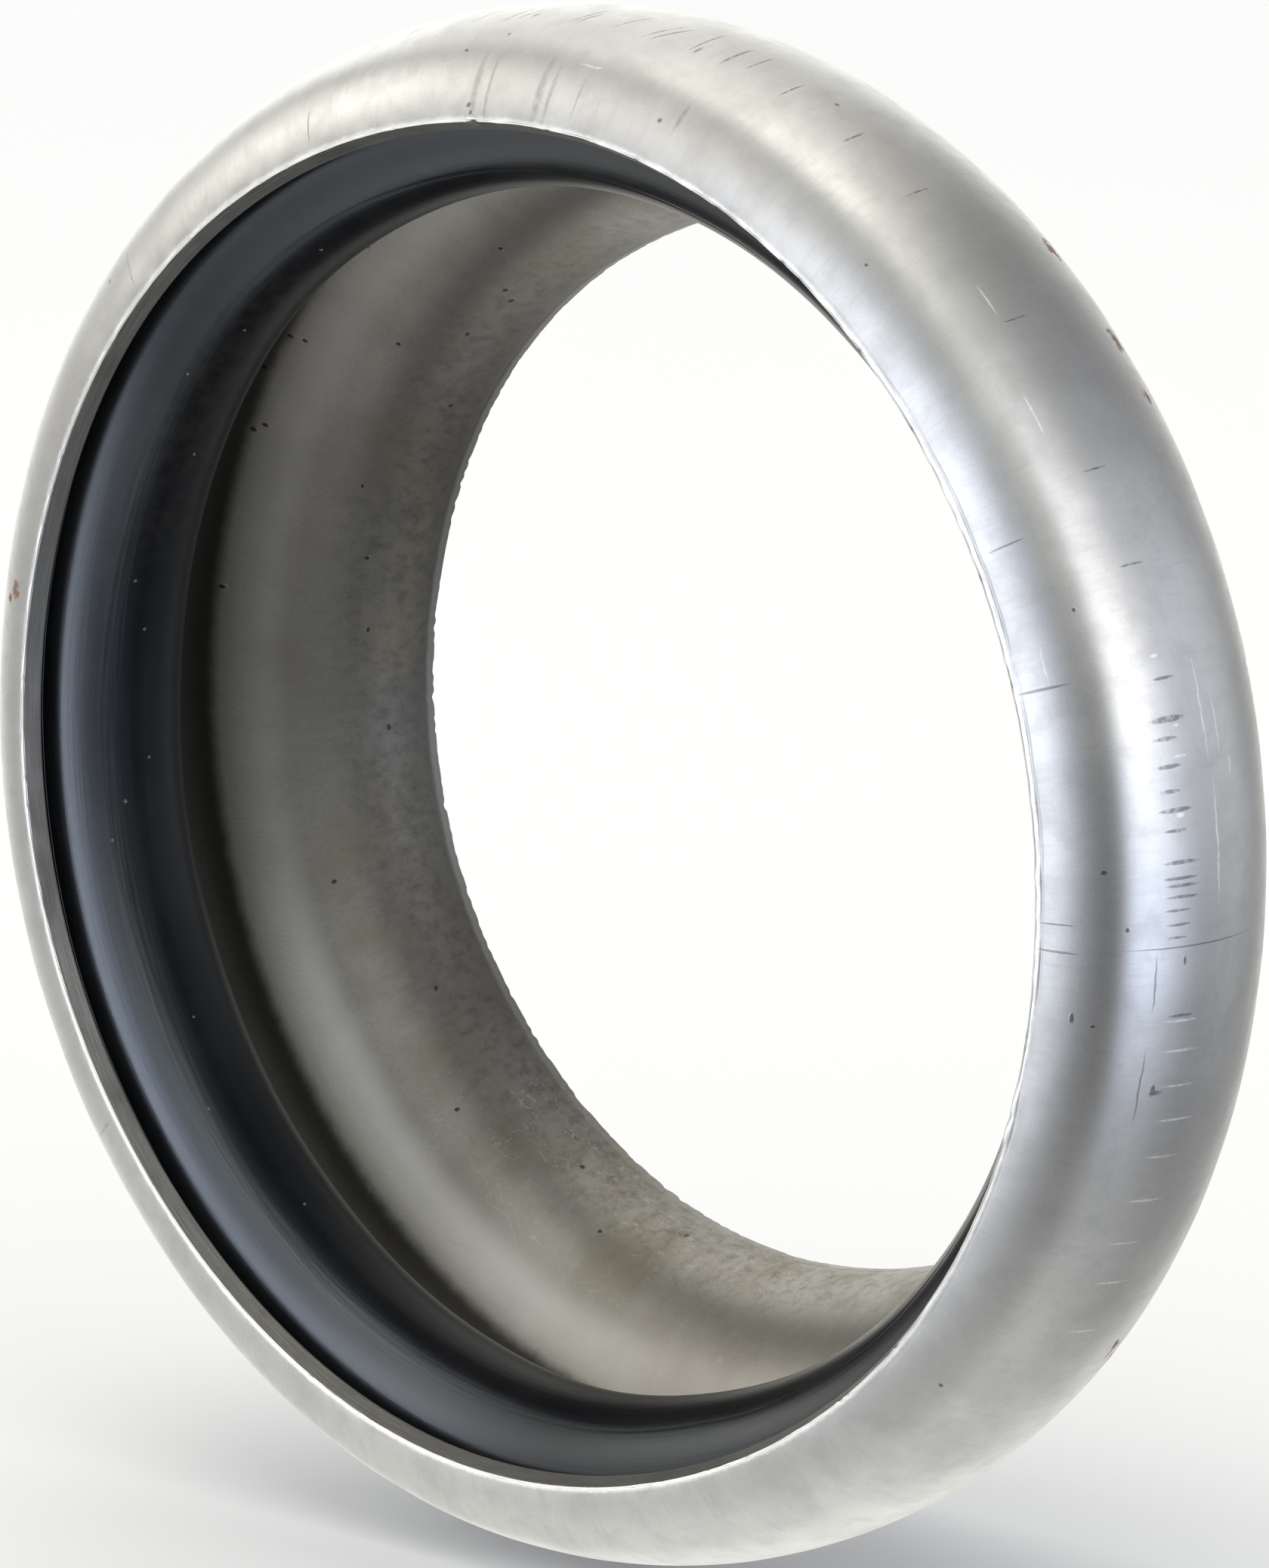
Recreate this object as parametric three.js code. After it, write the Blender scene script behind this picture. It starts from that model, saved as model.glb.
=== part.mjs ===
// Socket half of a weld-on ball coupling for a DN150 pipe: a formed steel ring and its rubber seal.
// Millimetres, +Z up. The ring's axis is +Y: the mouth faces -Y and the weld end faces +Y.
// The origin is the centre of the weld end's plane.
import * as THREE from "three";

// Steel shell, outer face
const SHEET = 3; // thickness of the formed sheet
const MOUTH_R = 99.7; // front corner of the curled lip
const BELLY_R = 115.2; // widest radius of the bulge
const BELLY_TO_END = 50.2; // from the widest section to the weld end's plane
const BELLY_ARC = 29; // bulge, on both sides of its widest section
const FRONT_SWEEP = 30; // degrees of that arc on the mouth's side
const REAR_SWEEP = 45; // and on the weld end's side
const SHOULDER_ARC = 10; // tight bend between the bulge and the lip
const SHOULDER_NORMAL = -54; // direction that the outer face points in where that bend meets the lip
const LIP_ARC = 20; // gentle round of the lip
const LIP_CUT = 115; // direction of the lip's cut face, from its front corner
const REAR_ARC = 14; // bend between the bulge and the throat
const THROAT_SLOPE = 57; // degrees of the throat's cone, from the axis
const NECK_R = 84.15; // outside of the weld end, the radius of a 168.3 mm pipe
const WELD_BEVEL = 1.5; // bevel round the outside of the weld end, each way

// Rubber seal
const SEAL_GAP = 0.3; // clearance between the seal and the shell
const CROWN_R = 89.5; // narrowest radius of the seal
const CROWN_ARC = 12.4; // round of the seal's inner face
const CROWN_FROM_MOUTH = 17.9; // from the lip's front corner to the narrowest section
const CROWN_BACK_SWEEP = 72; // degrees of the crown behind its narrowest section
const FRONT_NORMAL = -58; // direction that the lip points in where the seal's front face meets it
const LEG_SWEEP = 28; // degrees of the belly arc that the seal's outer leg covers at the back
const LEG_TIP = 2.6; // thickness of the leg at its tip
const GROOVE_ARC = 2.2; // round at the bottom of the groove between crown and leg
const GROOVE_R = 104.6; // radius of the middle of that round
const GROOVE_BEHIND_CROWN = 1.5; // how far that middle lies behind the narrowest section

// Facets
const RING_SEGMENTS = 72;
const ARC_STEP = 10; // degrees between the points of an arc

const rad = THREE.MathUtils.degToRad;

// A point at an angle on a round stretch: 0 points away from the axis and 90 points to the weld end.
function onArc(centre, radius, degrees) {
  const angle = rad(degrees);
  return new THREE.Vector2(centre.x + radius * Math.cos(angle), centre.y + radius * Math.sin(angle));
}

function arc(centre, radius, from, to, step = ARC_STEP) {
  const steps = Math.max(1, Math.ceil(Math.abs(to - from) / step));
  const points = [];
  for (let i = 0; i <= steps; i++) {
    points.push(onArc(centre, radius, from + ((to - from) * i) / steps));
  }
  return points;
}

// Centres of the shell's bends, each as (radius from the axis, place along the axis).
function bendCentres() {
  const belly = new THREE.Vector2(BELLY_R - BELLY_ARC, -BELLY_TO_END);
  const shoulder = onArc(belly, BELLY_ARC - SHOULDER_ARC, -FRONT_SWEEP);
  const lip = onArc(shoulder, SHOULDER_ARC - LIP_ARC, SHOULDER_NORMAL);
  const rear = onArc(belly, BELLY_ARC - REAR_ARC, REAR_SWEEP);
  return { belly, shoulder, lip, rear };
}

const bends = bendCentres();
const LIP_NORMAL = -THREE.MathUtils.radToDeg(Math.acos((MOUTH_R - bends.lip.x) / LIP_ARC));

// The neck's bend touches the throat's cone and runs parallel to the axis where the bevel starts.
function neckArc() {
  const cone = onArc(bends.rear, REAR_ARC, THROAT_SLOPE);
  const slope = rad(THROAT_SLOPE);
  const inward = cone.x - NECK_R;
  const along = -WELD_BEVEL - cone.y;
  return (inward * Math.cos(slope) - along * Math.sin(slope)) / (Math.cos(slope) - 1);
}

const NECK_ARC = neckArc();
const neck = new THREE.Vector2(NECK_R + NECK_ARC, -WELD_BEVEL);

// One face of the sheet, from the lip to the weld end, at a depth under the outer face.
function sheetFace(depth) {
  const lip = arc(bends.lip, LIP_ARC - depth, LIP_NORMAL, SHOULDER_NORMAL);
  const shoulder = arc(bends.shoulder, SHOULDER_ARC - depth, SHOULDER_NORMAL, -FRONT_SWEEP);
  const belly = arc(bends.belly, BELLY_ARC - depth, -FRONT_SWEEP, REAR_SWEEP);
  const rear = arc(bends.rear, REAR_ARC - depth, REAR_SWEEP, THROAT_SLOPE);
  const neckBend = arc(neck, NECK_ARC + depth, THROAT_SLOPE + 180, 180);
  return [...lip, ...shoulder.slice(1), ...belly.slice(1), ...rear.slice(1), ...neckBend];
}

function revolve(outline) {
  return new THREE.LatheGeometry([...outline, outline[0]], RING_SEGMENTS);
}

// The inner corner of the lip's slanting cut face.
function cutCorner(corner) {
  return onArc(corner, -SHEET / Math.cos(rad(LIP_NORMAL - LIP_CUT)), LIP_CUT);
}

// The weld end is cut square to the axis, and bevelled outside down to a narrow root face.
function shellOutline() {
  const outer = [...sheetFace(0), new THREE.Vector2(NECK_R - WELD_BEVEL, 0)];
  const inner = [cutCorner(outer[0]), ...sheetFace(SHEET), new THREE.Vector2(NECK_R - SHEET, 0)];
  return [...outer, ...inner.reverse()];
}

// The seal's outer face lies along the inside of the shell. Its crown is round, and a groove open to the
// weld end parts the crown from the leg, so that line pressure spreads the two.
function sealOutline() {
  const depth = SHEET + SEAL_GAP;
  const mouth = onArc(bends.lip, LIP_ARC, LIP_NORMAL).y;
  const crown = new THREE.Vector2(CROWN_R + CROWN_ARC, mouth + CROWN_FROM_MOUTH);
  const groove = new THREE.Vector2(GROOVE_R, crown.y + GROOVE_BEHIND_CROWN);
  const legEnd = onArc(bends.belly, BELLY_ARC - depth - LEG_TIP, LEG_SWEEP);
  return [
    ...arc(bends.lip, LIP_ARC - depth, FRONT_NORMAL, SHOULDER_NORMAL),
    ...arc(bends.shoulder, SHOULDER_ARC - depth, SHOULDER_NORMAL, -FRONT_SWEEP).slice(1),
    ...arc(bends.belly, BELLY_ARC - depth, -FRONT_SWEEP, LEG_SWEEP).slice(1),
    legEnd,
    ...arc(groove, GROOVE_ARC, 0, -180, 45),
    ...arc(crown, CROWN_ARC, 180 - CROWN_BACK_SWEEP, 270, 12),
  ];
}

const galvanisedSteel = new THREE.MeshStandardMaterial({ color: 0xb9bbba, roughness: 0.38, metalness: 0.9 });
const blackRubber = new THREE.MeshStandardMaterial({ color: 0x24262a, roughness: 0.55, metalness: 0 });

function piece(name, outline, material) {
  const mesh = new THREE.Mesh(revolve(outline), material);
  mesh.name = name;
  return mesh;
}

const coupling = new THREE.Group();
coupling.add(piece("socket_shell", shellOutline(), galvanisedSteel));
coupling.add(piece("seal_ring", sealOutline(), blackRubber));

export default coupling;
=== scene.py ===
import math

import bpy
import numpy as np
from mathutils import Matrix, Vector


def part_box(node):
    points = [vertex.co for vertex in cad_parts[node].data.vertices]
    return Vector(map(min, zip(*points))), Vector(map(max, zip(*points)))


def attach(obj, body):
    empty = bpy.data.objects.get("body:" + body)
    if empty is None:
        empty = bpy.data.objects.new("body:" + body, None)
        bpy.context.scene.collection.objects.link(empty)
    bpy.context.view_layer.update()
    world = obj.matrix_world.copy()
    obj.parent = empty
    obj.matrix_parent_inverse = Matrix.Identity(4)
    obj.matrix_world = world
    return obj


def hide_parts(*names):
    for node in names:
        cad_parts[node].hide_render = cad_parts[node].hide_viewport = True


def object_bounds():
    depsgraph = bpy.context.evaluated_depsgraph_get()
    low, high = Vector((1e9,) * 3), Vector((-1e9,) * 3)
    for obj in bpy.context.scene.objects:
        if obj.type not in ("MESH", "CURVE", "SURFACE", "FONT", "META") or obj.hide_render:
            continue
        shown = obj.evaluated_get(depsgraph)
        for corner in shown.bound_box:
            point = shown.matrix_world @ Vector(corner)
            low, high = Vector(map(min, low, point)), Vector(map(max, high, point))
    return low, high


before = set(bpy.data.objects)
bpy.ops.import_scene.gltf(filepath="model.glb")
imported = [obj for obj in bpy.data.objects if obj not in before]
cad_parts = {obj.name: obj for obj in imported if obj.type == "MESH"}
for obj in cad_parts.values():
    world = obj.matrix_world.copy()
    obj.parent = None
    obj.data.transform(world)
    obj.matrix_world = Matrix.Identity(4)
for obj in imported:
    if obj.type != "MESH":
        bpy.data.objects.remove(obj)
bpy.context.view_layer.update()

SHELL_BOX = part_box("socket_shell")
MM = 0.001

# Camera, about the centre of the mouth, in degrees and metres. Lens and sensor are in millimetres.
VIEW_AZIMUTH = 42.31
VIEW_ELEVATION = 11.35
VIEW_DISTANCE = 1.1153
VIEW_RIGHT = 0.01944
VIEW_UP = 0.0040
LENS = 177.8
SENSOR_WIDTH = 36.0
CLIP_START = 0.05
CLIP_END = 60.0

# Section of the sheet, the same as in the frame
SHEET = 3.0
BELLY_R = SHELL_BOX[1].x / MM
MOUTH_R = 99.7
BELLY_Y = -50.2
BELLY_ARC = 29.0
FRONT_SWEEP = 30.0
REAR_SWEEP = 45.0
SHOULDER_ARC = 10.0
SHOULDER_NORMAL = -54.0
LIP_ARC = 20.0
LIP_CUT = 115.0
REAR_ARC = 14.0
THROAT_SLOPE = 57.0
NECK_R = 84.15
WELD_BEVEL = 1.5

# Section of the seal
SEAL_GAP = 0.3
CROWN_R = 89.5
CROWN_ARC = 12.4
CROWN_FROM_MOUTH = 17.9
CROWN_BACK_SWEEP = 72.0
FRONT_NORMAL = -58.0
LEG_SWEEP = 28.0
LEG_TIP = 2.6
GROOVE_ARC = 2.2
GROOVE_R = 104.6
GROOVE_BEHIND_CROWN = 1.5

RING_STEPS = 1200
SHEET_R = 100.0  # radius that the ring's angles are laid out at for the materials


# ---------------------------------------------------------------- camera

def make_camera():
    azimuth = math.radians(VIEW_AZIMUTH)
    elevation = math.radians(VIEW_ELEVATION)
    flat = math.cos(elevation)
    rise = math.sin(elevation)
    back = Vector((math.sin(azimuth) * flat, -math.cos(azimuth) * flat, rise))
    right = Vector((math.cos(azimuth), math.sin(azimuth), 0.0))
    up = back.cross(right)
    camera = bpy.data.objects.new("camera", bpy.data.cameras.new("camera"))
    camera.data.lens = LENS
    camera.data.sensor_width = SENSOR_WIDTH
    camera.data.clip_start = CLIP_START
    camera.data.clip_end = CLIP_END
    place = Vector((0.0, MOUTH_Y * MM, 0.0)) + right * VIEW_RIGHT + up * VIEW_UP + back * VIEW_DISTANCE
    turn = Matrix((right, up, back)).transposed()
    camera.matrix_world = Matrix.Translation(place) @ turn.to_4x4()
    bpy.context.scene.collection.objects.link(camera)
    bpy.context.scene.camera = camera


# ---------------------------------------------------------------- sections

def on_arc(centre, radius, degrees):
    """Points on a bend: 0 degrees is away from the axis and 90 is towards the weld end."""
    angle = np.radians(degrees)
    return np.stack([centre[0] + radius * np.cos(angle), centre[1] + radius * np.sin(angle)], axis=-1)


def arc(centre, radius, start, end, step):
    count = max(2, int(math.ceil(abs(math.radians(end - start)) * radius / step)) + 1)
    return on_arc(centre, radius, np.linspace(start, end, count))


def line(start, end, step):
    start, end = np.asarray(start, float), np.asarray(end, float)
    count = max(2, int(math.ceil(np.linalg.norm(end - start) / step)) + 1)
    return start + (end - start) * np.linspace(0.0, 1.0, count)[:, None]


BELLY = np.array([BELLY_R - BELLY_ARC, BELLY_Y])
SHOULDER = on_arc(BELLY, BELLY_ARC - SHOULDER_ARC, -FRONT_SWEEP)
LIP = on_arc(SHOULDER, SHOULDER_ARC - LIP_ARC, SHOULDER_NORMAL)
REAR = on_arc(BELLY, BELLY_ARC - REAR_ARC, REAR_SWEEP)
LIP_NORMAL = -math.degrees(math.acos((MOUTH_R - LIP[0]) / LIP_ARC))
MOUTH_Y = on_arc(LIP, LIP_ARC, LIP_NORMAL)[1]
CROWN = np.array([CROWN_R + CROWN_ARC, MOUTH_Y + CROWN_FROM_MOUTH])
GROOVE = np.array([GROOVE_R, CROWN[1] + GROOVE_BEHIND_CROWN])


def neck_arc():
    """The neck's bend touches the throat's cone and runs along the axis where the bevel starts."""
    cone = on_arc(REAR, REAR_ARC, THROAT_SLOPE)
    cos, sin = math.cos(math.radians(THROAT_SLOPE)), math.sin(math.radians(THROAT_SLOPE))
    return ((cone[0] - NECK_R) * cos + (WELD_BEVEL + cone[1]) * sin) / (cos - 1.0)


NECK_ARC = neck_arc()
NECK = np.array([NECK_R + NECK_ARC, -WELD_BEVEL])


def sheet_turns():
    """Places along the sheet from the lip, and the way that its outer face points at each."""
    cone = np.linalg.norm(
        on_arc(NECK, NECK_ARC, THROAT_SLOPE + 180.0) - on_arc(REAR, REAR_ARC, THROAT_SLOPE)
    )
    runs = (
        (0.0, LIP_NORMAL),
        (LIP_ARC * math.radians(SHOULDER_NORMAL - LIP_NORMAL), SHOULDER_NORMAL),
        (SHOULDER_ARC * math.radians(-FRONT_SWEEP - SHOULDER_NORMAL), -FRONT_SWEEP),
        (BELLY_ARC * math.radians(FRONT_SWEEP + REAR_SWEEP), REAR_SWEEP),
        (REAR_ARC * math.radians(THROAT_SLOPE - REAR_SWEEP), THROAT_SLOPE),
        (cone, THROAT_SLOPE),
        (NECK_ARC * math.radians(THROAT_SLOPE), 0.0),
        (WELD_BEVEL, 0.0),
    )
    lengths, turns = zip(*runs)
    return np.cumsum(lengths), np.array(turns)


BEND_EASE = 1.6  # half length over which one bend eases into the next
CURVE_STEP = 0.05  # millimetres between the curve's points


def sheet_curve():
    """The outer face as dense places, points and directions, with its bends eased together."""
    step = CURVE_STEP
    places, turns = sheet_turns()
    along = np.arange(0.0, places[-1] + step, step)
    reach = int(3 * BEND_EASE / step)
    before = turns[0] - (turns[1] - turns[0]) / places[1] * step * np.arange(reach, 0, -1)
    raw = np.concatenate([before, np.interp(along, places, turns), np.zeros(reach)])
    spread = np.exp(-(np.arange(-reach, reach + 1) * step / BEND_EASE) ** 2)
    angle = np.radians(np.convolve(raw, spread / spread.sum(), "valid"))
    widest = np.argmin(np.abs(angle[: len(angle) // 2]))
    radius = np.cumsum(-np.sin(angle)) * step
    place = np.cumsum(np.cos(angle)) * step
    radius += BELLY_R - radius[widest]
    place += BELLY_Y - place[widest]
    return along, np.stack([radius, place], axis=-1), np.stack([np.cos(angle), np.sin(angle)], axis=-1)


SHEET_ALONG, SHEET_POINTS, SHEET_NORMALS = sheet_curve()


def on_sheet(places, depth=0.0):
    """Points of the sheet at places along it from the lip, at a depth under its outer face."""
    point = [np.interp(places, SHEET_ALONG, SHEET_POINTS[:, i]) for i in (0, 1)]
    normal = [np.interp(places, SHEET_ALONG, SHEET_NORMALS[:, i]) for i in (0, 1)]
    return np.stack([point[0] - depth * normal[0], point[1] - depth * normal[1]], axis=-1)


def rounded(before, corner, after, radius, count=5):
    """A corner cut back by a radius and turned in a few points."""
    before, corner, after = (np.asarray(p, float) for p in (before, corner, after))
    start = corner + (before - corner) / np.linalg.norm(before - corner) * radius
    end = corner + (after - corner) / np.linalg.norm(after - corner) * radius
    t = np.linspace(0.0, 1.0, count)[:, None]
    return start * (1 - t) ** 2 + corner * 2 * t * (1 - t) + end * t ** 2


SAME_POINT = 1e-4  # millimetres under which two points are one


def joined(parts):
    """One list of points, without the repeats where parts meet."""
    points = [parts[0]]
    for part in parts[1:]:
        same = np.linalg.norm(part[0] - points[-1][-1]) < SAME_POINT
        points.append(part[1:] if same else part)
    return np.concatenate(points)


SHEET_LENGTH = SHEET_ALONG[-1]
BEVEL_PLACE = SHEET_LENGTH - WELD_BEVEL
LIP_CORNER = on_sheet(0.0)
END_CORNER = on_sheet(SHEET_LENGTH) - (WELD_BEVEL, 0.0)
END_INNER = on_sheet(SHEET_LENGTH, SHEET)
CUT_TURN = math.cos(math.radians(LIP_NORMAL - LIP_CUT))
LIP_INNER = on_arc(LIP_CORNER, -SHEET / CUT_TURN, LIP_CUT)


def stations(*spans):
    """Places along the sheet, as (start, end, step) spans."""
    places = [np.linspace(a, b, int(math.ceil(abs(b - a) / step)) + 1) for a, b, step in spans]
    return np.unique(np.concatenate(places))


def outer_face():
    """From the lip to the weld end, with finer steps where the faces turn or are worn."""
    corner = rounded(LIP_INNER, LIP_CORNER, on_sheet(1.0), 0.28)
    bevel = rounded(on_sheet(BEVEL_PLACE - 1.0), on_sheet(BEVEL_PLACE), END_CORNER, 0.2, 3)
    edge = rounded(on_sheet(BEVEL_PLACE), END_CORNER, END_INNER, 0.15, 3)
    places = stations(
        (0.28, 3.4, 0.13),
        (3.4, 16.0, 0.4),
        (16.0, 44.0, 0.75),
        (44.0, BEVEL_PLACE - 3.0, 0.9),
        (BEVEL_PLACE - 3.0, BEVEL_PLACE - 0.2, 0.5),
    )
    return joined([corner, on_sheet(places), bevel, edge])


def inner_face():
    """From the weld end back to the lip."""
    edge = rounded(END_CORNER, END_INNER, on_sheet(SHEET_LENGTH - 1.0, SHEET), 0.3)
    corner = rounded(on_sheet(0.0, SHEET), LIP_INNER, LIP_CORNER, 0.2, 3)
    places = stations(
        (0.0, 16.0, 0.7),
        (16.0, 44.0, 2.0),
        (44.0, SHEET_LENGTH - 8.0, 0.7),
        (SHEET_LENGTH - 8.0, SHEET_LENGTH - 0.35, 0.3),
    )
    return joined([edge, on_sheet(places[::-1], SHEET), corner])


def normals_of(points):
    """Outward normals of a closed outline that runs from the lip over the outside."""
    ahead = np.roll(points, -1, axis=0) - np.roll(points, 1, axis=0)
    turned = np.stack([ahead[:, 1], -ahead[:, 0]], axis=-1)
    return turned / np.linalg.norm(turned, axis=1)[:, None]


def lengths_of(points):
    steps = np.linalg.norm(np.diff(points, axis=0), axis=1)
    return np.concatenate([[0.0], np.cumsum(steps)])


# ---------------------------------------------------------------- unevenness

ANGLES = np.arange(RING_STEPS) / RING_STEPS * 2 * math.pi


def ring_noise(seed, lowest, highest, fall=1.0):
    """Unevenness round the ring, about 1 high, that closes on itself."""
    draw = np.random.default_rng(seed)
    total = np.zeros(RING_STEPS)
    power = 0.0
    for wave in range(lowest, highest + 1):
        size = (lowest / wave) ** fall
        total += size * np.cos(wave * ANGLES + draw.uniform(0.0, 2 * math.pi))
        power += size * size / 2
    return total / math.sqrt(power)


def near_angle(degrees, width):
    """1 at a ring angle, falling to 0 at the width on either side."""
    apart = (np.degrees(ANGLES) - degrees + 180.0) % 360.0 - 180.0
    near = np.clip(1.0 - np.abs(apart) / width, 0.0, 1.0)
    return near ** 2 * (3.0 - 2.0 * near)


def bell(x, centre, width):
    """1 at the centre, and 0.37 at the width on either side."""
    return np.exp(-((x - centre) / width) ** 2)


# How the ring is out of round, as (waves round the ring, millimetres high, ring angle of a crest)
OUT_OF_ROUND = (
    (2, 0.25, 16.0),
    (3, 0.10, -51.0),
    (4, 0.21, -26.0),
    (5, 0.09, -23.0),
    (6, 0.15, 20.0),
)


def out_of_round():
    """How far the whole ring stands off a true circle."""
    total = np.zeros(RING_STEPS)
    for waves, height, crest in OUT_OF_ROUND:
        total += height * np.cos(waves * (ANGLES - math.radians(crest)))
    return total


# ---------------------------------------------------------------- meshes

def ring_faces(steps, count):
    """Faces between neighbouring steps of the ring and neighbouring points of its closed section."""
    ring = np.arange(steps)[:, None] * count
    following = (np.arange(steps)[:, None] + 1) % steps * count
    here = np.arange(count)[None, :]
    after = (here + 1) % count
    faces = np.stack([ring + here, following + here, following + after, ring + after], axis=-1)
    return faces.reshape(-1, 4)


def lay_out(mesh, cos, sin, sheet):
    """Gives the materials each point's ring angle, as a point at SHEET_R, and its place on the sheet."""
    round_ring = np.ones((len(cos), len(sheet)))
    laid = np.stack([SHEET_R * cos * round_ring, SHEET_R * sin * round_ring, sheet * round_ring], axis=-1)
    attribute = mesh.attributes.new("sheet", "FLOAT_VECTOR", "POINT")
    attribute.data.foreach_set("vector", laid.reshape(-1).astype(np.float32))


def ring_object(name, radius, place, sheet, materials, material_of=None):
    """A closed ring from arrays of (ring step, section point), in millimetres."""
    steps, count = radius.shape
    cos, sin = np.cos(ANGLES)[:, None], np.sin(ANGLES)[:, None]
    points = np.stack([radius * cos, place, radius * sin], axis=-1) * MM
    mesh = bpy.data.meshes.new(name)
    mesh.from_pydata(points.reshape(-1, 3), [], ring_faces(steps, count))
    for material in materials:
        mesh.materials.append(material)
    if material_of is not None:
        mesh.polygons.foreach_set("material_index", np.tile(material_of, steps).astype(np.int32))
    lay_out(mesh, cos, sin, sheet)
    mesh.shade_smooth()
    mesh.update()
    piece = bpy.data.objects.new(name, mesh)
    bpy.context.scene.collection.objects.link(piece)
    return piece


# ---------------------------------------------------------------- shell

OUTER, END, INNER, CUT = range(4)  # faces of the sheet, in the order of the outline
OUTSIDE_STEEL, CUT_STEEL, THROAT_STEEL, END_STEEL = range(4)  # the shell's materials

# Wear beside the lip's front corner, in millimetres from it and deep
FOLD_FROM_CORNER = 1.35
FOLD_WANDER = 0.12
FOLD_DEPTH = 0.10
FOLD_WIDTH = 0.17
FOLD_MIDDLE = 10.0  # ring angle
FOLD_REACH = 62.0  # degrees on either side of it
CHIP_FROM_CORNER = 0.15
CHIP_DEPTH = 0.1
CHIP_WIDTH = 0.45
CHIP_ABOVE = 1.15  # how high the unevenness is where a chip starts
SWELL_FROM_CORNER = 0.4
SWELL_HEIGHT = 0.035
SWELL_WIDTH = 1.1

# The notch where the strip's ends meet, in degrees round the ring and millimetres
SEAM_ANGLE = 92.9
NOTCH_DEPTH = 0.5
NOTCH_ANGLE = 0.35
NOTCH_ON_OUTSIDE = 0.7
NOTCH_ON_CUT = 1.2

# The rest of the sheet, in millimetres
WAVE_HEIGHT = 0.02
RAGGED_DEPTH = 0.16
RAGGED_REACH = 2.2
CREASE_Y = -2.3
CREASE_HEIGHT = 0.10
CREASE_WIDTH = 0.5


def shell_outline():
    """The closed section, and the face that each of its points lies on."""
    outer, inner = outer_face(), inner_face()
    end = line(outer[-1], inner[0], 0.3)[1:-1]
    cut = line(inner[-1], outer[0], 0.16)[1:-1]
    runs = [outer, end, inner, cut]
    return np.concatenate(runs), np.repeat([OUTER, END, INNER, CUT], [len(run) for run in runs])


def shell_materials(face):
    """The material between each point of the outline and the next."""
    following = np.roll(face, -1)
    at_end = (face == END) | (following == END)
    at_cut = (face == CUT) | (following == CUT)
    return np.select([at_end, at_cut, face == INNER], [END_STEEL, CUT_STEEL, THROAT_STEEL], OUTSIDE_STEEL)


def lip_wear(along, on_outer):
    """Depth of the fold, nicks and dents near the lip's front corner, in millimetres."""
    wander = FOLD_FROM_CORNER + FOLD_WANDER * ring_noise(21, 4, 90, 0.8)
    fold_here = near_angle(FOLD_MIDDLE, FOLD_REACH)
    fold_here = fold_here * np.clip(0.85 + 0.35 * ring_noise(22, 8, 60, 0.3), 0.2, 1.2)
    fold = FOLD_DEPTH * fold_here[:, None] * bell(along[None, :], wander[:, None], FOLD_WIDTH)
    chips = np.clip(ring_noise(23, 40, 420, 0.1) - CHIP_ABOVE, 0.0, 1.4)
    chipped = CHIP_DEPTH * chips[:, None] * bell(along[None, :], CHIP_FROM_CORNER, CHIP_WIDTH)
    swell = SWELL_HEIGHT * ring_noise(24, 20, 140, 0.4)[:, None]
    swell = swell * bell(along[None, :], SWELL_FROM_CORNER, SWELL_WIDTH)
    return np.where(on_outer[None, :], fold + chipped + swell, 0.0)


def shell_depth(along, back, face):
    """How far wear and the notch sink the faces, from lengths forward and back to the front corner."""
    notch = NOTCH_DEPTH * bell(np.degrees(ANGLES), SEAM_ANGLE, NOTCH_ANGLE)[:, None]
    depth = lip_wear(along, face == OUTER)
    depth = depth + notch * np.where(face == OUTER, bell(along, 0.0, NOTCH_ON_OUTSIDE), 0.0)
    return depth + notch * np.where(face == CUT, bell(back, 0.0, NOTCH_ON_CUT), 0.0)


def throat_crease(points, face):
    """A faint crease inside the weld end, as a rise of the radius."""
    crease = CREASE_HEIGHT * bell(points[:, 1], CREASE_Y, CREASE_WIDTH) * (face == INNER)
    return crease * (0.7 + 0.3 * ring_noise(42, 5, 90, 0.4))[:, None]


def ragged_end(points):
    """How far the weld end is torn back, along the axis."""
    torn = -RAGGED_DEPTH * np.clip(ring_noise(41, 12, 300, 0.35) + 0.4, 0.0, 3.0)[:, None]
    return torn * np.clip(1.0 + points[:, 1] / RAGGED_REACH, 0.0, 1.0)


def shell_piece(materials):
    points, face = shell_outline()
    normals = normals_of(points)
    along = lengths_of(points)
    back = along[-1] - along
    waves = WAVE_HEIGHT * ring_noise(31, 14, 60, 0.5)[:, None] * (face == OUTER)
    raised = waves - shell_depth(along, back, face)
    radius = points[:, 0] + out_of_round()[:, None] + raised * normals[:, 0] + throat_crease(points, face)
    place = points[:, 1] + raised * normals[:, 1] + ragged_end(points)
    across_end = along - along[face == OUTER][-1]
    on_face = [face == OUTER, face == INNER, face == CUT]
    sheet = np.select(on_face, [along, points[:, 1], back], across_end)
    return ring_object("formed_steel_shell", radius, place, sheet, materials, shell_materials(face))


# ---------------------------------------------------------------- seal

CROWN_SHIFT = (0.55, -0.5)  # how far the crown sits off the axis, along X and along Z
FREE_INSIDE = 106.0  # radius inside which the rubber stands free of the shell
FREE_OVER = 8.0  # further in it is wholly free
SEAL_SWELL = 0.09
MOULD_LINES = (128.0, 141.0, 222.0)  # turns round the crown's arc
MOULD_LINE_WANDER = 0.8
MOULD_LINE_DEPTH = 0.045
MOULD_LINE_WIDTH = 1.1
ON_CROWN = 0.15  # millimetres from the crown's arc within which a point lies on it
OFF_CROWN = 30.0  # place that the materials are given for the rest of the seal


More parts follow.
